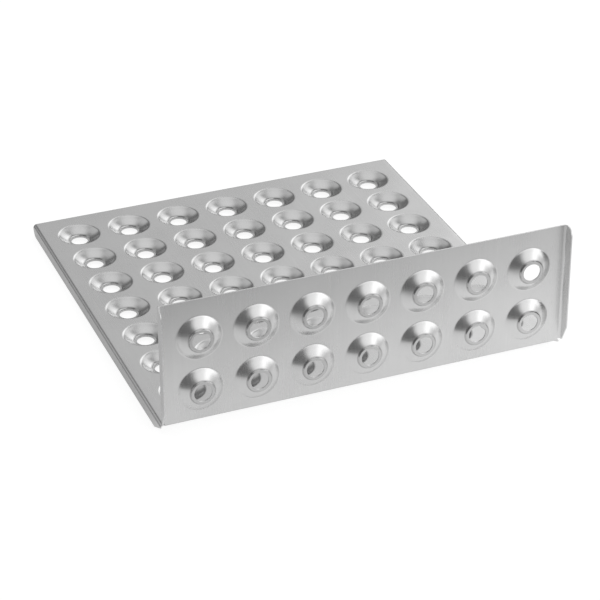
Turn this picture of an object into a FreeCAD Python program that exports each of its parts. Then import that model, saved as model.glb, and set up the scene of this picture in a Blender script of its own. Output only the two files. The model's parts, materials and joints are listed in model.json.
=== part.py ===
"""Dimpled baguette tray: one sheet of metal, pressed, punched and folded once.

The tray is a flat plate with an upright wall along its front.  Both carry a square grid of
pressed dimples, each with a punched hole in its crown.  All the dimples stand out on the
outer side of the fold: down under the plate and forward from the wall.  Each side edge has
a narrow flange bent to the same outer side, and the flanges stop in a V at the fold.

Frame: +Z up, wall towards -Y, millimetres.  The origin is the centre of the footprint, on
the level of the plate flanges' lower edges, which are what the tray stands on.
"""
import FreeCAD, Part
import math
import os

import Sketcher

SIZES = {
    "pitch": 38.0,              # dimple to dimple, both ways
    "columns": 7,               # dimples across the width
    "plate_rows": 7,
    "wall_rows": 2,
    "side_margin": 27.0,        # outer column of holes to the flange's outer face
    "back_margin": 27.0,        # back row of holes to the plate's back edge
    "top_margin": 27.5,         # top row of holes to the wall's top edge
    "fold_to_plate_row": 36.0,  # wall's inner face to the nearest plate row
    "fold_to_wall_row": 22.0,   # plate's upper face to the nearest wall row
    "thickness": 0.9,
    "bend_radius": 1.8,         # inner radius of the fold and of the flange bends
    "flange_depth": 8.5,        # sheet's inner face to the flange's free edge
    "notch": 12.0,              # how far the V at the fold runs along a flange's free edge
    "rim_radius": 16.0,         # where a dimple leaves the flat sheet
    "rim_roll": 2.0,            # inner radius where the sheet turns into the dimple
    "bowl_radius": 22.0,        # inner radius of the dimple's round bowl
    "neck_radius": 7.8,         # where the bowl ends in a low step
    "neck_depth": 0.8,          # the step, down to the flat ring around the hole
    "crown_radius": 7.3,        # outside of the flat ring
    "hole_radius": 6.0,
}

NODE = "tray_sheet"

HALF_WIDTH = "(sizes.side_margin + (sizes.columns - 1) * sizes.pitch / 2)"
OUTER_BEND = "(sizes.bend_radius + sizes.thickness)"
LEG = f"(sizes.flange_depth - {OUTER_BEND})"
PLATE_RUN = "(sizes.fold_to_plate_row + (sizes.plate_rows - 1) * sizes.pitch + sizes.back_margin)"
WALL_RUN = "(sizes.fold_to_wall_row + (sizes.wall_rows - 1) * sizes.pitch + sizes.top_margin)"
# The wall's inner face is this far in front of the origin, and the plate's upper face is
# flange_depth above it.
WALL_FACE = f"(({PLATE_RUN} - sizes.flange_depth) / 2)"
BACK_EDGE = f"({PLATE_RUN} - {WALL_FACE})"
FIRST_COLUMN = "(-(sizes.columns - 1) * sizes.pitch / 2)"


class Panel:
    """One flat side of the fold, and how a section across it and a run along it are placed."""

    def __init__(self, name, section_plane, run_axis, rows, first_row, run):
        self.name = name
        self.section_plane = section_plane
        self.run_axis = run_axis
        self.rows = rows
        self.first_row = first_row
        self.run = run

    def section_offset(self, across, depth, along):
        """Place a sketch whose x runs across the sheet and whose y points at its inner side.

        Across is measured from the middle, depth from the sheet's inner face outwards, and
        along from the other panel's inner face.
        """
        if self.name == "plate":
            return {"x": across, "y": f"sizes.flange_depth - {depth}", "z": f"{WALL_FACE} - {along}"}
        return {"x": across, "y": f"-{WALL_FACE} - {depth}", "z": f"sizes.flange_depth + {along}"}

    def side_offset(self, across, depth, along):
        """Place the same point for a sketch on the side plane, whose x and y are Y and Z."""
        if self.name == "plate":
            return {"x": f"{along} - {WALL_FACE}", "y": f"sizes.flange_depth - {depth}", "z": across}
        return {"x": f"-{WALL_FACE} - {depth}", "y": f"sizes.flange_depth + {along}", "z": across}


PLATE = Panel("plate", "XZ_Plane", "Y_Axis", "plate_rows", "sizes.fold_to_plate_row", PLATE_RUN)
WALL = Panel("wall", "XY_Plane", "Z_Axis", "wall_rows", "sizes.fold_to_wall_row", WALL_RUN)


def make_sizes(doc):
    """Put the driving dimensions in a spreadsheet, one aliased cell each."""
    sheet = doc.addObject("Spreadsheet::Sheet", "sizes")
    for row, (alias, value) in enumerate(SIZES.items(), start=1):
        sheet.set(f"A{row}", alias)
        sheet.set(f"B{row}", str(value))
        sheet.setAlias(f"B{row}", alias)
    doc.recompute()


def origin_feature(body, role):
    """Return one of the body's own planes or axes."""
    return next(item for item in body.Origin.OriginFeatures if item.Role == role)


def number(sketch, expression):
    """Return what an expression comes to now."""
    value = sketch.evalExpression(expression)
    return float(getattr(value, "Value", value))


def new_sketch(body, name, plane, offset, turn=0.0):
    """Attach a sketch to an origin plane, shifted by expressions and turned in the plane."""
    sketch = body.newObject("Sketcher::SketchObject", name)
    sketch.AttachmentSupport = [(origin_feature(body, plane), "")]
    sketch.MapMode = "FlatFace"
    spin = FreeCAD.Rotation(FreeCAD.Vector(0, 0, 1), turn)
    sketch.AttachmentOffset = FreeCAD.Placement(FreeCAD.Vector(), spin)
    for axis, expression in offset.items():
        sketch.setExpression(f"AttachmentOffset.Base.{axis}", expression)
    return sketch


def draw_loop(sketch, points, arcs, smooth):
    """Draw a closed outline and join its sides.

    Side n runs from point n to point n + 1.  It is straight unless arcs gives it a centre
    and a turn, +1 for counter-clockwise and -1 for clockwise.  The joints in smooth, named
    by the side before them, are tangential.
    """
    count = len(points)
    ends = []
    for side in range(count):
        first = FreeCAD.Vector(*points[side], 0)
        second = FreeCAD.Vector(*points[(side + 1) % count], 0)
        turn = 1
        if side in arcs:
            centre, turn = arcs[side]
            middle = FreeCAD.Vector(*centre, 0)
            circle = Part.Circle(middle, FreeCAD.Vector(0, 0, 1), (first - middle).Length)
            angles = [math.atan2(end.y - middle.y, end.x - middle.x) for end in (first, second)]
            sketch.addGeometry(Part.ArcOfCircle(circle, *angles[::turn]))
        else:
            sketch.addGeometry(Part.LineSegment(first, second))
        ends.append((1, 2)[::turn])
    for side in range(count):
        after = (side + 1) % count
        kind = "Tangent" if side in smooth else "Coincident"
        sketch.addConstraint(Sketcher.Constraint(kind, side, ends[side][1], after, ends[after][0]))


def rule(sketch, kind, *sides):
    """Apply a one-sided rule, such as Vertical, to several sides."""
    for side in sides:
        sketch.addConstraint(Sketcher.Constraint(kind, side))


def bind(sketch, name, expression, kind, *where):
    """Add a dimension and bind it to the spreadsheet."""
    index = sketch.addConstraint(Sketcher.Constraint(kind, *where, number(sketch, expression)))
    sketch.renameConstraint(index, name)
    sketch.setExpression(f"Constraints.{name}", expression)


def pad(body, name, sketch, length, reverse=False, symmetric=False):
    """Extrude a sketch by an expression."""
    feature = body.newObject("PartDesign::Pad", name)
    feature.Profile = sketch
    feature.SideType = "Symmetric" if symmetric else "One side"
    feature.Reversed = reverse
    feature.setExpression("Length", length)
    return feature


def draw_fold(body):
    """Draw the L of plate, fold and wall, in side view."""
    sketch = new_sketch(body, "fold_outline", "YZ_Plane", {})
    thick = SIZES["thickness"]
    radius = SIZES["bend_radius"]
    upper = SIZES["flange_depth"]
    inner = -number(sketch, WALL_FACE)
    back = number(sketch, BACK_EDGE)
    top = upper + number(sketch, WALL_RUN)
    centre = (inner + radius, upper + radius)
    points = [
        (back, upper),
        (centre[0], upper),
        (inner, centre[1]),
        (inner, top),
        (inner - thick, top),
        (inner - thick, centre[1]),
        (centre[0], upper - thick),
        (back, upper - thick),
    ]
    draw_loop(sketch, points, {1: (centre, -1), 5: (centre, 1)}, smooth={0, 1, 4, 5})
    rule(sketch, "Horizontal", 0, 3, 6)
    rule(sketch, "Vertical", 2, 4, 7)
    sketch.addConstraint(Sketcher.Constraint("Coincident", 1, 3, 5, 3))
    bind(sketch, "upper_face", "sizes.flange_depth", "DistanceY", -1, 1, 0, 1)
    bind(sketch, "back_edge", BACK_EDGE, "DistanceX", -1, 1, 0, 1)
    bind(sketch, "inner_face", WALL_FACE, "DistanceX", 3, 1, -1, 1)
    bind(sketch, "top_edge", f"sizes.flange_depth + {WALL_RUN}", "DistanceY", -1, 1, 3, 1)
    bind(sketch, "inner_radius", "sizes.bend_radius", "Radius", 1)
    bind(sketch, "gauge", "sizes.thickness", "DistanceY", 7, 1, 7, 2)
    return sketch


def draw_bend(body, panel):
    """Draw the quarter ring where a panel turns into its flange, seen along the bend."""
    place = panel.section_offset(f"{HALF_WIDTH} - {OUTER_BEND}", OUTER_BEND, "sizes.bend_radius")
    sketch = new_sketch(body, f"{panel.name}_bend_outline", panel.section_plane, place)
    inner = SIZES["bend_radius"]
    outer = inner + SIZES["thickness"]
    points = [(0, outer), (outer, 0), (inner, 0), (0, inner)]
    draw_loop(sketch, points, {0: ((0, 0), -1), 2: ((0, 0), 1)}, smooth=())
    for arc in (0, 2):
        sketch.addConstraint(Sketcher.Constraint("Coincident", arc, 3, -1, 1))
    for side, axis in ((1, -1), (3, -2)):
        sketch.addConstraint(Sketcher.Constraint("PointOnObject", side, 1, axis))
        sketch.addConstraint(Sketcher.Constraint("PointOnObject", side, 2, axis))
    bind(sketch, "inner_radius", "sizes.bend_radius", "Radius", 2)
    bind(sketch, "outer_radius", OUTER_BEND, "Radius", 0)
    return sketch


def draw_leg(body, panel, outward, turn):
    """Draw a flange's flat leg in side view: rounded at its far end, cut back at the fold.

    Outward is the sketch's own y direction in which the leg runs, +1 or -1.
    """
    place = panel.side_offset(f"{HALF_WIDTH} - sizes.thickness", OUTER_BEND, "sizes.bend_radius")
    sketch = new_sketch(body, f"{panel.name}_leg_outline", "YZ_Plane", place, turn)
    run_expression = f"{panel.run} - sizes.bend_radius"
    leg = number(sketch, LEG)
    run = number(sketch, run_expression)
    points = [(0, 0), (run, 0), (run - leg, outward * leg), (SIZES["notch"], outward * leg)]
    draw_loop(sketch, points, {1: ((run - leg, 0), outward)}, smooth={1})
    rule(sketch, "Horizontal", 0, 2)
    sketch.addConstraint(Sketcher.Constraint("Coincident", 0, 1, -1, 1))
    bind(sketch, "run", run_expression, "DistanceX", 0, 1, 0, 2)
    bind(sketch, "corner", LEG, "Radius", 1)
    bind(sketch, "notch", "sizes.notch", "DistanceX", 0, 1, 2, 2)
    sketch.addConstraint(Sketcher.Constraint("PointOnObject", 1, 3, 0))
    return sketch


def add_flange(body, panel, outward, turn):
    """Add a panel's right-hand flange: its bend, then its leg."""
    bend = pad(body, f"{panel.name}_bend", draw_bend(body, panel),
               f"{panel.run} - sizes.bend_radius", reverse=panel is PLATE)
    leg = pad(body, f"{panel.name}_leg", draw_leg(body, panel, outward, turn), "sizes.thickness")
    return [bend, leg]


def mirror(body, features):
    """Repeat features on the left-hand side."""
    copy = body.newObject("PartDesign::Mirrored", "left_flanges")
    copy.Originals = features
    copy.MirrorPlane = (origin_feature(body, "YZ_Plane"), [""])
    body.Tip = copy


def draw_opening(body, panel):
    """Draw the half section of the round opening that a dimple fills."""
    place = panel.section_offset(FIRST_COLUMN, "0", panel.first_row)
    sketch = new_sketch(body, f"{panel.name}_opening_outline", panel.section_plane, place)
    radius = SIZES["rim_radius"]
    thick = SIZES["thickness"]
    points = [(0, thick), (0, -2 * thick), (radius, -2 * thick), (radius, thick)]
    draw_loop(sketch, points, {}, smooth=())
    rule(sketch, "Horizontal", 1, 3)
    rule(sketch, "Vertical", 2)
    for corner in (0, 1):
        sketch.addConstraint(Sketcher.Constraint("PointOnObject", corner, 1, -2))
    bind(sketch, "rim", "sizes.rim_radius", "DistanceX", 1, 1, 1, 2)
    bind(sketch, "above", "sizes.thickness", "DistanceY", -1, 1, 0, 1)
    bind(sketch, "height", "3 * sizes.thickness", "DistanceY", 0, 2, 0, 1)
    return sketch


def draw_dimple(body, panel):
    """Draw the half section of a dimple: rim roll, round bowl, low step and flat ring.

    The step makes the ring around the hole stand proud of the dimple, as a collar.
    """
    place = panel.section_offset(FIRST_COLUMN, "0", panel.first_row)
    sketch = new_sketch(body, f"{panel.name}_dimple_outline", panel.section_plane, place)
    thick = SIZES["thickness"]
    rim = SIZES["rim_radius"]
    bowl = SIZES["bowl_radius"]
    neck = SIZES["neck_radius"]
    crown = SIZES["crown_radius"]
    hole = SIZES["hole_radius"]
    rim_outer = SIZES["rim_roll"] + thick
    rim_centre = (rim, -rim_outer)
    slope = math.asin(rim / (bowl + rim_outer))
    bowl_centre = (0, (bowl + rim_outer) * math.cos(slope) - rim_outer)

    def on_rim(radius):
        return rim - radius * math.sin(slope), rim_centre[1] + radius * math.cos(slope)

    def on_bowl(radius, across):
        return across, bowl_centre[1] - math.sqrt(radius**2 - across**2)

    neck_edge = on_bowl(bowl, neck)
    ring = neck_edge[1] - SIZES["neck_depth"]
    points = [
        (rim, 0),
        on_rim(rim_outer),
        neck_edge,
        (crown, ring),
        (hole, ring),
        (hole, ring - thick),
        (crown + thick / 2, ring - thick),
        on_bowl(bowl + thick, neck + thick / 2),
        on_rim(SIZES["rim_roll"]),
        (rim, -thick),
    ]
    arcs = {0: (rim_centre, 1), 1: (bowl_centre, -1), 7: (bowl_centre, 1), 8: (rim_centre, -1)}
    draw_loop(sketch, points, arcs, smooth={0, 7})
    rule(sketch, "Vertical", 4, 9)
    rule(sketch, "Horizontal", 3, 5)
    sketch.addConstraint(Sketcher.Constraint("Parallel", 2, 6))
    sketch.addConstraint(Sketcher.Constraint("Coincident", 0, 3, 8, 3))
    sketch.addConstraint(Sketcher.Constraint("Coincident", 1, 3, 7, 3))
    sketch.addConstraint(Sketcher.Constraint("PointOnObject", 1, 3, -2))
    sketch.addConstraint(Sketcher.Constraint("Vertical", 0, 3, 9, 2))
    sketch.addConstraint(Sketcher.Constraint("PointOnObject", 9, 2, -1))
    bind(sketch, "rim", "sizes.rim_radius", "DistanceX", -1, 1, 9, 2)
    bind(sketch, "gauge", "sizes.thickness", "DistanceY", 9, 1, 9, 2)
    bind(sketch, "rim_roll", "sizes.rim_roll", "Radius", 8)
    bind(sketch, "bowl", "sizes.bowl_radius", "Radius", 1)
    bind(sketch, "neck", "sizes.neck_radius", "DistanceX", -1, 1, 2, 1)
    bind(sketch, "neck_depth", "sizes.neck_depth", "DistanceY", 2, 2, 2, 1)
    bind(sketch, "neck_gauge", "sizes.thickness", "Distance", 6, 1, 2)
    bind(sketch, "crown", "sizes.crown_radius", "DistanceX", -1, 1, 3, 1)
    bind(sketch, "hole", "sizes.hole_radius", "DistanceX", -1, 1, 4, 1)
    bind(sketch, "cut_edge", "sizes.thickness", "DistanceY", 4, 2, 4, 1)
    return sketch


def revolve(body, kind, name, sketch):
    """Turn a sketch a full circle about its own y axis."""
    feature = body.newObject(f"PartDesign::{kind}", name)
    feature.Profile = sketch
    feature.ReferenceAxis = (sketch, ["V_Axis"])
    feature.Angle = 360
    return feature


def add_dimples(body, panel):
    """Open the sheet at the first dimple, fill in the dimple, and repeat both over the grid."""
    opening = revolve(body, "Groove", f"{panel.name}_opening", draw_opening(body, panel))
    dimple = revolve(body, "Revolution", f"{panel.name}_dimple", draw_dimple(body, panel))
    grid = body.newObject("PartDesign::LinearPattern", f"{panel.name}_grid")
    grid.Originals = [opening, dimple]
    grid.Direction = (origin_feature(body, "X_Axis"), [""])
    grid.Direction2 = (origin_feature(body, panel.run_axis), [""])
    grid.Mode = "Extent"
    grid.Mode2 = "Extent"
    grid.setExpression("Length", "(sizes.columns - 1) * sizes.pitch")
    grid.setExpression("Length2", f"(sizes.{panel.rows} - 1) * sizes.pitch")
    grid.setExpression("Occurrences", "sizes.columns")
    grid.setExpression("Occurrences2", f"sizes.{panel.rows}")
    body.Tip = grid


def make_sheet(doc):
    """Build the folded, flanged and dimpled sheet."""
    body = doc.addObject("PartDesign::Body", NODE)
    body.Label = NODE
    flat_width = f"2 * ({HALF_WIDTH} - {OUTER_BEND})"
    pad(body, "folded_sheet", draw_fold(body), flat_width, symmetric=True)
    flanges = add_flange(body, PLATE, outward=-1, turn=0.0)
    flanges += add_flange(body, WALL, outward=1, turn=90.0)
    mirror(body, flanges)
    add_dimples(body, PLATE)
    add_dimples(body, WALL)
    return body


def check(doc, bodies):
    """Stop if any feature failed or any sub-part isn't one sound solid."""
    for item in doc.Objects:
        if "Invalid" in item.State or "Error" in item.State:
            raise RuntimeError(f"{item.Label} failed: {item.State}")
    for body in bodies:
        shape = body.Shape
        if shape.isNull() or not shape.isValid() or len(shape.Solids) != 1:
            raise RuntimeError(f"{body.Label} is not one valid solid")


def main():
    doc = FreeCAD.newDocument("baguette_tray")
    make_sizes(doc)
    bodies = [make_sheet(doc)]
    doc.recompute()
    check(doc, bodies)
    os.makedirs("parts", exist_ok=True)
    for body in bodies:
        body.Shape.exportStep(f"parts/{body.Label}.step")


main()
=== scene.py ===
"""Looks of the dimpled baguette tray: one sheet of metal, pressed, punched and folded once.

Metres, +Z up, the wall towards -Y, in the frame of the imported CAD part.  The sheet's inner
face is built as one quad mesh, which modifiers then give its thickness and its slightly
rounded cut edges.
"""

import json
import math

import bpy
from mathutils import Matrix, Vector

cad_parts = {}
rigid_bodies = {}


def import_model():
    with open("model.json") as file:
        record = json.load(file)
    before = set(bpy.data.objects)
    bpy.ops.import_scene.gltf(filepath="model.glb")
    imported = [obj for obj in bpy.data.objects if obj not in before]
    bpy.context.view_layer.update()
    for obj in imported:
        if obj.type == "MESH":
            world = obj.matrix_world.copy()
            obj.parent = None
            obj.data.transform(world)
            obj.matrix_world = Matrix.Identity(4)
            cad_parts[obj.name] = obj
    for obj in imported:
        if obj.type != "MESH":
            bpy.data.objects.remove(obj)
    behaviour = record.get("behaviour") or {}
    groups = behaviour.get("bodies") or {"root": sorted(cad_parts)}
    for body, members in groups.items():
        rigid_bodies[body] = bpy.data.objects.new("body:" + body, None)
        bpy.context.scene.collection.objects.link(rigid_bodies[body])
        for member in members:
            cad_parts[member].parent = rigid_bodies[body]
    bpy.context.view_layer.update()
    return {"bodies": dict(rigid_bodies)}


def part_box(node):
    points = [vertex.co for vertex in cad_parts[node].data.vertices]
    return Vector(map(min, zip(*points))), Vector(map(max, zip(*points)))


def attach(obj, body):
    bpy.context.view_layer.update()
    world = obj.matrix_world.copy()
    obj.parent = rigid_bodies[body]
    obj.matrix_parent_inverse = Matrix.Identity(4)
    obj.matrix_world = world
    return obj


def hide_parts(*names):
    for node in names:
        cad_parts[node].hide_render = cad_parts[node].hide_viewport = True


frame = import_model()

MM = 0.001

# The sheet, as designed.
PITCH = 38.0 * MM
COLUMNS = 7
ROWS = {"plate": 7, "wall": 2}
FIRST_ROW = {"plate": 36.0 * MM, "wall": 22.0 * MM}  # from the other panel's inner face
THICKNESS = 0.9 * MM
BEND_RADIUS = 1.8 * MM                               # inner radius of the fold and bends
OUTER_BEND = BEND_RADIUS + THICKNESS
FLANGE_DEPTH = 8.5 * MM
LEG = FLANGE_DEPTH - OUTER_BEND
NOTCH = 12.0 * MM
RIM_RADIUS = 16.0 * MM
RIM_ROLL = 2.0 * MM         # inner radius where the sheet turns into a dimple
OUTER_ROLL = RIM_ROLL + THICKNESS
BOWL_RADIUS = 22.0 * MM
NECK_RADIUS = 7.8 * MM
NECK_DEPTH = 0.8 * MM
CROWN_RADIUS = 7.3 * MM
HOLE_RADIUS = 6.0 * MM
STEEPEST = math.asin(RIM_RADIUS / (BOWL_RADIUS + OUTER_ROLL))  # slope where roll meets bowl

# How finely it is meshed.
CELL_STEPS = 12             # quads along each side of the square cell around a dimple
BEND_STEPS = 6
ROLL_STEPS = 6
BOWL_STEPS = 7
SIDE_STRIPS = 2             # between the grid of cells and a flange bend
FOLD_STRIPS = {"plate": 4, "wall": 1}  # between the fold and the grid
EDGE_STRIPS = 3             # between the grid and a panel's free edge
CREASE = 0.2 * MM           # mesh lines kept this close to a sharp crease
EDGE_ROUNDING = 0.12 * MM   # burr rubbed off the cut edges

# How bright the surroundings are.
FLOOR_GLOW = 0.85           # of the floor, to the camera
BACKDROP_GLOW = 1.0         # of the background, to the camera
ROOM_GLOW = 0.15            # of the room between the light panels, in reflections

# Where the camera is.
CAMERA_BEARING = 21.5       # degrees from +Y towards +X, the way it looks
CAMERA_TILT = -30.1
CAMERA_ROLL = -0.39
CAMERA_AIM = (9.6 * MM, 0.0, -8.1 * MM)
CAMERA_DISTANCE = 1629 * MM
CAMERA_LENS = 138.8         # focal length in millimetres, for the sensor's width below
SENSOR_WIDTH = 36.0


def steps(first, last, count):
    """Return count + 1 evenly spaced values from first to last."""
    return [first + (last - first) * index / count for index in range(count + 1)]


def dimple_profile():
    """Return (radius, depth) pairs down the inner face, from a dimple's rim to its hole."""
    profile = []
    for slope in steps(0, STEEPEST, ROLL_STEPS):
        radius = RIM_RADIUS - OUTER_ROLL * math.sin(slope)
        profile.append((radius, OUTER_ROLL * (1 - math.cos(slope))))
    edge = profile[-1][1]
    for slope in steps(STEEPEST, math.asin(NECK_RADIUS / BOWL_RADIUS), BOWL_STEPS)[1:]:
        drop = BOWL_RADIUS * (math.cos(slope) - math.cos(STEEPEST))
        profile.append((BOWL_RADIUS * math.sin(slope), edge + drop))
    neck = profile[-1][1]
    for share in (0.45, 0.8, 1.0):
        radius = NECK_RADIUS + share * (CROWN_RADIUS - NECK_RADIUS)
        profile.append((radius, neck + share * NECK_DEPTH))
    for radius in (CROWN_RADIUS - CREASE, (CROWN_RADIUS + HOLE_RADIUS) / 2, HOLE_RADIUS):
        profile.append((radius, neck + NECK_DEPTH))
    return profile


def round_angle(across, along):
    """Return where a point of a square's border goes when the border is made round."""
    if abs(across) >= abs(along):
        return math.pi / 4 * along / across + (math.pi if across < 0 else 0)
    return math.pi / 2 - math.pi / 4 * across / along + (math.pi if along < 0 else 0)


class Sheet:
    """The inner face of the folded sheet, as a quad mesh with its unfolded coordinates."""

    def __init__(self, low, high):
        self.half_width = high.x
        self.wall_face = low.y + FLANGE_DEPTH
        self.plate_face = low.z + FLANGE_DEPTH
        self.run = {"plate": high.y - self.wall_face, "wall": high.z - self.plate_face}
        self.points = []
        self.unfolded = []
        self.from_hole = []
        self.faces = []

    def add_point(self, panel, x, depth, along, unfolded_x, from_hole=1.0):
        """Add a point of a panel and return its number.

        Depth is measured from the panel's inner face outwards, along from the other
        panel's inner face, and from_hole in shares of the pitch.
        """
        if panel == "plate":
            self.points.append((x, self.wall_face + along, self.plate_face - depth))
            self.unfolded.append((unfolded_x, -along, 0.0))
        else:
            self.points.append((x, self.wall_face - depth, self.plate_face + along))
            self.unfolded.append((unfolded_x, along, 0.0))
        self.from_hole.append(from_hole)
        return len(self.points) - 1

    def add_fold_point(self, x, turn):
        """Add a point of the fold, where turn goes from 0 at the plate to 90 degrees."""
        y = self.wall_face + BEND_RADIUS * (1 - math.sin(turn))
        z = self.plate_face + BEND_RADIUS * (1 - math.cos(turn))
        self.points.append((x, y, z))
        self.unfolded.append((x, BEND_RADIUS * (turn / math.radians(45) - 1), 0.0))
        self.from_hole.append(1.0)
        return len(self.points) - 1

    def stations_across(self):
        """Return (unfolded x, x, depth, share of the leg) for each lengthwise mesh line."""
        grid = COLUMNS * PITCH / 2
        bend = self.half_width - OUTER_BEND
        edge = [(x, x, 0.0, 0.0) for x in steps(grid, bend, SIDE_STRIPS)[1:]]
        for turn in steps(0, math.pi / 2, BEND_STEPS)[1:]:
            x = bend + OUTER_BEND * math.sin(turn)
            edge.append((bend + OUTER_BEND * turn, x, OUTER_BEND * (1 - math.cos(turn)), 0.0))
        for turn in steps(0, math.pi / 2, BEND_STEPS)[1:]:
            share = math.sin(turn)
            unfolded = bend + OUTER_BEND * math.pi / 2 + LEG * share
            edge.append((unfolded, self.half_width, OUTER_BEND + LEG * share, share))
        middle = [(x, x, 0.0, 0.0) for x in steps(-grid, grid, COLUMNS * CELL_STEPS)]
        mirrored = [(-unfolded, -x, depth, share) for unfolded, x, depth, share in edge[::-1]]
        return mirrored + middle + edge

    def stations_along(self, panel):
        """Return the distances of a panel's crosswise mesh lines, from the fold outwards."""
        near = FIRST_ROW[panel] - PITCH / 2
        far = near + ROWS[panel] * PITCH
        lines = steps(BEND_RADIUS, near, FOLD_STRIPS[panel])[:-1]
        lines += steps(near, far, ROWS[panel] * CELL_STEPS)
        return lines + steps(far, self.run[panel], EDGE_STRIPS)[1:]

    def flange_along(self, panel, along, share):
        """Squeeze a line's place along a flange into the leg's own length at this depth."""
        run = self.run[panel]
        start = BEND_RADIUS + NOTCH * share
        end = run - LEG * (1 - math.sqrt(max(0.0, 1 - share * share)))
        return start + (along - BEND_RADIUS) * (end - start) / (run - BEND_RADIUS)

    def add_quads(self, first, second):
        """Join two neighbouring rows of points, facing the inner side."""
        for index in range(len(first) - 1):
            self.faces.append((first[index], first[index + 1], second[index + 1], second[index]))

    def build(self):
        """Mesh the plate, the fold and the wall, and then every dimple."""
        across = self.stations_across()
        flat = [index for index, station in enumerate(across) if station[2] == 0.0]
        rows = {}
        for panel in ("plate", "wall"):
            rows[panel] = []
            for along in self.stations_along(panel):
                row = []
                for unfolded, x, depth, share in across:
                    place = self.flange_along(panel, along, share)
                    row.append(self.add_point(panel, x, depth, place, unfolded))
                rows[panel].append(row)
        fold = [[rows["plate"][0][index] for index in flat]]
        for turn in steps(0, math.pi / 2, BEND_STEPS)[1:-1]:
            fold.append([self.add_fold_point(across[index][1], turn) for index in flat])
        fold.append([rows["wall"][0][index] for index in flat])
        for lower, upper in zip(fold, fold[1:]):
            self.add_quads(upper, lower)
        for panel in ("plate", "wall"):
            self.mesh_panel(panel, rows[panel])

    def mesh_panel(self, panel, rows):
        """Fill a panel with plain quads around its dimple cells, and with the dimples."""
        left = SIDE_STRIPS + 2 * BEND_STEPS
        right = left + COLUMNS * CELL_STEPS
        bottom = FOLD_STRIPS[panel]
        top = bottom + ROWS[panel] * CELL_STEPS
        for index in range(len(rows) - 1):
            pair = (rows[index], rows[index + 1])
            if panel == "wall":
                pair = pair[::-1]
            if bottom <= index < top:
                self.add_quads(pair[0][:left + 1], pair[1][:left + 1])
                self.add_quads(pair[0][right:], pair[1][right:])
            else:
                self.add_quads(*pair)
        for row in range(ROWS[panel]):
            for column in range(COLUMNS):
                corner = (bottom + row * CELL_STEPS, left + column * CELL_STEPS)
                self.add_dimple(panel, rows, corner, row, column)

    def add_dimple(self, panel, rows, corner, row, column):
        """Fill one square cell with a dimple, ring by ring from its border to its hole."""
        centre_x = (column - (COLUMNS - 1) / 2) * PITCH
        centre_along = FIRST_ROW[panel] + row * PITCH
        low, left = corner
        border = [(low, left + step) for step in range(CELL_STEPS)]
        border += [(low + step, left + CELL_STEPS) for step in range(CELL_STEPS)]
        border += [(low + CELL_STEPS, left + CELL_STEPS - step) for step in range(CELL_STEPS)]
        border += [(low + CELL_STEPS - step, left) for step in range(CELL_STEPS)]
        square = []
        for line, station in border:
            offset_x = ((station - left) / CELL_STEPS - 0.5) * PITCH
            offset_along = ((line - low) / CELL_STEPS - 0.5) * PITCH
            square.append((offset_x, offset_along, round_angle(offset_x, offset_along)))
        rings = [[rows[line][station] for line, station in border]]
        for share in (0.4, 0.75):
            ring = []
            for offset_x, offset_along, turn in square:
                x = offset_x + share * (RIM_RADIUS * math.cos(turn) - offset_x)
                along = offset_along + share * (RIM_RADIUS * math.sin(turn) - offset_along)
                ring.append(self.add_ring_point(panel, centre_x, centre_along, x, along, 0.0))
            rings.append(ring)
        for radius, depth in dimple_profile():
            ring = []
            for _, _, turn in square:
                x = radius * math.cos(turn)
                along = radius * math.sin(turn)
                ring.append(self.add_ring_point(panel, centre_x, centre_along, x, along, depth))
            rings.append(ring)
        for outer, inner in zip(rings, rings[1:]):
            closed = (outer + outer[:1], inner + inner[:1])
            self.add_quads(*(closed if panel == "plate" else closed[::-1]))

    def add_ring_point(self, panel, centre_x, centre_along, x, along, depth):
        """Add a point placed from a dimple's centre."""
        from_hole = math.hypot(x, along) / PITCH
        place = (centre_x + x, depth, centre_along + along)
        return self.add_point(panel, *place, centre_x + x, from_hole)


def make_tray():
    """Build the tray as one piece that stands for the CAD sheet."""
    sheet = Sheet(*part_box("tray_sheet"))
    sheet.build()
    mesh = bpy.data.meshes.new("baguette_tray")
    mesh.from_pydata(sheet.points, [], sheet.faces)
    mesh.update()
    mesh.shade_smooth()
    unfolded = mesh.attributes.new("unfolded", "FLOAT_VECTOR", "POINT")
    unfolded.data.foreach_set("vector", [value for point in sheet.unfolded for value in point])
    from_hole = mesh.attributes.new("from_hole", "FLOAT", "POINT")
    from_hole.data.foreach_set("value", sheet.from_hole)
    grain = mesh.uv_layers.new(name="grain")
    for loop in mesh.loops:
        grain.data[loop.index].uv = sheet.unfolded[loop.vertex_index][:2]
    tray = bpy.data.objects.new("baguette_tray", mesh)
    bpy.context.scene.collection.objects.link(tray)
    mesh.materials.append(satin_sheet())
    mesh.materials.append(cut_edge())
    give_thickness(tray)
    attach(tray, next(iter(frame["bodies"])))
    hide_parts("tray_sheet")


def give_thickness(tray):
    """Thicken the inner face outwards, round the cut edges and keep the flats flat."""
    shell = tray.modifiers.new("gauge", "SOLIDIFY")
    shell.thickness = THICKNESS
    shell.offset = -1.0
    shell.use_even_offset = True
    shell.use_quality_normals = True
    shell.material_offset_rim = 1
    rounding = tray.modifiers.new("rounded_edges", "BEVEL")
    rounding.width = EDGE_ROUNDING
    rounding.segments = 2
    rounding.limit_method = "ANGLE"
    rounding.angle_limit = math.radians(50)
    tray.modifiers.new("flat_faces", "WEIGHTED_NORMAL")


def add_node(tree, kind, inputs=None, **settings):
    """Add a node whose inputs are plain values or the outputs that feed them."""
    item = tree.nodes.new(kind)
    for name, value in settings.items():
        setattr(item, name, value)
    for key, value in (inputs or {}).items():
        if isinstance(value, bpy.types.NodeSocket):
            tree.links.new(value, item.inputs[key])
        else:
            item.inputs[key].default_value = value
    return item


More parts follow.
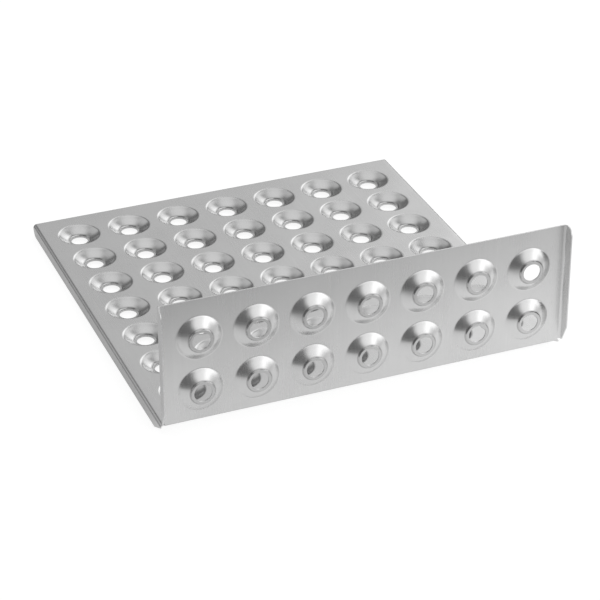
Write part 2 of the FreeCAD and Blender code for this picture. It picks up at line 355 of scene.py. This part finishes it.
def noise(tree, coords, scale, detail=2.0, roughness=0.5):
    """Return noise between 0 and 1 whose scale, in cycles a metre, may differ by axis."""
    place = add_node(tree, "ShaderNodeMapping", {"Vector": coords, "Scale": scale})
    inputs = {"Vector": place.outputs[0], "Scale": 1.0, "Detail": detail, "Roughness": roughness}
    return add_node(tree, "ShaderNodeTexNoise", inputs).outputs[0]


def ramp(tree, value, low, high, to_low=0.0, to_high=1.0):
    """Return a value carried smoothly from one range to another."""
    inputs = {"Value": value, "From Min": low, "From Max": high, "To Min": to_low, "To Max": to_high}
    return add_node(tree, "ShaderNodeMapRange", inputs, interpolation_type="SMOOTHSTEP").outputs[0]


def combine(tree, operation, first, second):
    """Return first and second joined by a math operation."""
    return add_node(tree, "ShaderNodeMath", {0: first, 1: second}, operation=operation).outputs[0]


def add_layer(tree, base, layer, amount):
    """Return a value with a share of another added to it."""
    return combine(tree, "ADD", base, combine(tree, "MULTIPLY", layer, amount))


def grey(tree, shade):
    """Return a grey colour of the given brightness."""
    return add_node(tree, "ShaderNodeCombineColor", {0: shade, 1: shade, 2: shade}).outputs[0]


def new_material(name):
    """Return a fresh node material, its tree and its Principled shader."""
    material = bpy.data.materials.new(name)
    material.use_nodes = True
    tree = material.node_tree
    return material, tree, tree.nodes["Principled BSDF"]


def satin_sheet():
    """Mill-finish sheet: fine grain along the sheet, soft smudges, light handling wear, and painted
    shade on the ring and step around each hole.
    """
    material, tree, shader = new_material("satin_sheet")
    coords = add_node(tree, "ShaderNodeAttribute", attribute_name="unfolded").outputs["Vector"]
    from_hole = add_node(tree, "ShaderNodeAttribute", attribute_name="from_hole").outputs["Fac"]
    grain = noise(tree, coords, (700, 14, 1), detail=3.0, roughness=0.6)
    fine_grain = noise(tree, coords, (4200, 90, 1), detail=2.0)
    smudge = ramp(tree, noise(tree, coords, (22, 15, 1), detail=4.0, roughness=0.6), 0.35, 0.75)
    speck = ramp(tree, noise(tree, coords, (520, 460, 1), detail=2.0), 0.66, 0.8)
    scratch = ramp(tree, noise(tree, coords, (2600, 30, 1), detail=1.0), 0.72, 0.8)

    # Distances from a hole's centre are in shares of the pitch.
    # Painted shade: the flat ring face around each hole is darkened by 0.10.
    ring = ramp(tree, from_hole, 0.196, 0.190)
    # Painted shade: a dark band, 0.24 deep, on the step between the bowl and the ring, where shade
    # falls in the crease.
    painted_crease_shade = combine(tree, "MULTIPLY", ramp(tree, from_hole, 0.188, 0.200),
                     ramp(tree, from_hole, 0.232, 0.208))
    stretched = ramp(tree, from_hole, 0.42, 0.2)

    shade = ramp(tree, grain, 0.25, 0.75, 0.76, 0.785)
    # The ring and crease layers are painted shade. The smudge, speck and scratch layers are the
    # sheet's own marks.
    layers = ((ring, -0.10), (painted_crease_shade, -0.24), (smudge, -0.035), (speck, -0.05), (scratch, 0.05))
    for layer, amount in layers:
        shade = add_layer(tree, shade, layer, amount)
    tree.links.new(grey(tree, shade), shader.inputs["Base Color"])

    rough = ramp(tree, grain, 0.2, 0.8, 0.21, 0.27)
    rough = add_layer(tree, rough, smudge, 0.05)
    rough = add_layer(tree, rough, stretched, -0.03)
    tree.links.new(rough, shader.inputs["Roughness"])

    shader.inputs["Metallic"].default_value = 1.0
    shader.inputs["Anisotropic"].default_value = 0.5
    tangent = add_node(tree, "ShaderNodeTangent", direction_type="UV_MAP", uv_map="grain")
    tree.links.new(tangent.outputs[0], shader.inputs["Tangent"])

    height = add_layer(tree, grain, fine_grain, 0.3)
    shallow = {"Height": height, "Strength": 0.14, "Distance": 0.01 * MM}
    fine = add_node(tree, "ShaderNodeBump", shallow)
    waves = noise(tree, coords, (26, 20, 1), detail=1.0)
    broad = {"Height": waves, "Strength": 1.0, "Distance": 0.35 * MM, "Normal": fine.outputs[0]}
    bump = add_node(tree, "ShaderNodeBump", broad)
    tree.links.new(bump.outputs[0], shader.inputs["Normal"])
    return material


def cut_edge():
    """Sheared edge: brighter than the sheet, with fine marks across its thickness."""
    material, tree, shader = new_material("cut_edge")
    coords = add_node(tree, "ShaderNodeNewGeometry").outputs["Position"]
    marks = noise(tree, coords, (1800, 1800, 1800), detail=3.0)
    shade = ramp(tree, marks, 0.3, 0.7, 0.74, 0.86)
    tree.links.new(grey(tree, shade), shader.inputs["Base Color"])
    tree.links.new(ramp(tree, marks, 0.3, 0.7, 0.26, 0.4), shader.inputs["Roughness"])
    shader.inputs["Metallic"].default_value = 1.0
    relief = {"Height": marks, "Strength": 0.3, "Distance": 0.02 * MM}
    bump = add_node(tree, "ShaderNodeBump", relief)
    tree.links.new(bump.outputs[0], shader.inputs["Normal"])
    return material


def floor_reflection(tree):
    """Return how strongly the floor glows in the metal's reflections, by place and direction.

    It brightens towards the wall and to the right and dims behind the wall.  Rays that leave
    it at a low angle lose it, unless they leave towards the left.
    """
    geometry = add_node(tree, "ShaderNodeNewGeometry").outputs
    place = add_node(tree, "ShaderNodeSeparateXYZ", {0: geometry["Position"]}).outputs
    leaving = add_node(tree, "ShaderNodeSeparateXYZ", {0: geometry["Incoming"]}).outputs
    towards_wall = ramp(tree, place["Y"], -0.36, -0.15, 0.18, 0.54)
    behind_wall = ramp(tree, place["Y"], -0.15, -0.10, 0.0, -0.20)
    to_the_right = ramp(tree, place["X"], -0.12, 0.34, 0.0, 0.22)
    glow = combine(tree, "ADD", combine(tree, "ADD", towards_wall, behind_wall), to_the_right)
    steep = ramp(tree, leaving["Z"], 0.14, 0.24)
    leftward = ramp(tree, leaving["X"], 0.1, -0.2)
    return combine(tree, "MULTIPLY", glow, combine(tree, "MAXIMUM", steep, leftward))


def pale_floor():
    """Pale grey that glows evenly to the camera, and unevenly in the reflections.

    The two glows differ on purpose: the second stands in for cards placed around the tray.
    """
    material, tree, shader = new_material("pale_floor")
    coords = add_node(tree, "ShaderNodeNewGeometry").outputs["Position"]
    shade = ramp(tree, noise(tree, coords, (3, 3, 3)), 0.3, 0.7, 0.28, 0.32)
    tree.links.new(grey(tree, shade), shader.inputs["Base Color"])
    shader.inputs["Roughness"].default_value = 0.9
    seen = add_node(tree, "ShaderNodeLightPath").outputs["Is Camera Ray"]
    levels = {0: seen, 2: floor_reflection(tree), 3: FLOOR_GLOW}
    glow = add_node(tree, "ShaderNodeMix", levels).outputs[0]
    tree.links.new(glow, shader.inputs["Emission Strength"])
    shader.inputs["Emission Color"].default_value = (1, 1, 1, 1)
    return material


def make_floor():
    """Lay a wide pale floor under the tray."""
    reach = 4.0
    corners = [(-reach, -reach, 0), (reach, -reach, 0), (reach, reach, 0), (-reach, reach, 0)]
    mesh = bpy.data.meshes.new("floor")
    mesh.from_pydata(corners, [], [(0, 1, 2, 3)])
    mesh.materials.append(pale_floor())
    floor = bpy.data.objects.new("floor", mesh)
    bpy.context.scene.collection.objects.link(floor)


def direction(azimuth, elevation):
    """Return the unit vector at a compass angle from +Y towards +X and a height angle."""
    turn = math.radians(azimuth)
    lift = math.radians(elevation)
    flat = math.cos(lift)
    return Vector((math.sin(turn) * flat, math.cos(turn) * flat, math.sin(lift)))


def make_studio():
    """Surround the tray with a dim room that has broad soft panels of light.

    Each panel has a bearing, a height angle, the half angles at which it starts to glow
    and is at full strength, and that strength.  The camera sees a plain backdrop instead.
    """
    world = bpy.data.worlds.new("studio")
    bpy.context.scene.world = world
    world.use_nodes = True
    tree = world.node_tree
    ray = add_node(tree, "ShaderNodeTexCoord").outputs["Generated"]
    panels = [
        (50, 31, 26, 9, 0.85),      # right and behind
        (25, 34, 30, 8, 0.42),      # behind
        (100, 26, 32, 14, 0.80),    # right
        (126, 8, 34, 18, 0.60),     # right and in front, low down
        (158, 28, 34, 20, 0.84),    # beside the camera
        (0, 90, 44, 12, 0.62),      # overhead
        (308, 28, 34, 16, 0.42),    # left and behind
    ]
    light = ROOM_GLOW
    for bearing, height, outer, inner, strength in panels:
        inputs = {0: ray, 1: direction(bearing, height)}
        aligned = add_node(tree, "ShaderNodeVectorMath", inputs, operation="DOT_PRODUCT")
        edge = (math.cos(math.radians(outer)), math.cos(math.radians(inner)))
        glow = ramp(tree, aligned.outputs["Value"], *edge, 0.0, strength)
        light = combine(tree, "ADD", light, glow)
    seen = add_node(tree, "ShaderNodeLightPath").outputs["Is Camera Ray"]
    light = add_node(tree, "ShaderNodeMix", {0: seen, 2: light, 3: BACKDROP_GLOW}).outputs[0]
    tree.links.new(light, tree.nodes["Background"].inputs["Strength"])
    tree.nodes["Background"].inputs["Color"].default_value = (1, 1, 1, 1)


def make_camera():
    """Look down on the tray from the front left through a long lens."""
    forward = direction(CAMERA_BEARING, CAMERA_TILT)
    right = forward.cross(Vector((0, 0, 1))).normalized()
    up = right.cross(forward)
    roll = Matrix.Rotation(math.radians(CAMERA_ROLL), 3, "Z")
    turn = Matrix((right, up, -forward)).transposed() @ roll
    camera = bpy.data.cameras.new("camera")
    camera.lens = CAMERA_LENS
    camera.sensor_width = SENSOR_WIDTH
    viewer = bpy.data.objects.new("camera", camera)
    place = Vector(CAMERA_AIM) - forward * CAMERA_DISTANCE
    viewer.matrix_world = Matrix.Translation(place) @ turn.to_4x4()
    bpy.context.scene.collection.objects.link(viewer)
    bpy.context.scene.camera = viewer


def main():
    """Build the scene."""
    make_tray()
    make_floor()
    make_studio()
    make_camera()
    bpy.context.scene.view_settings.view_transform = "Standard"


main()
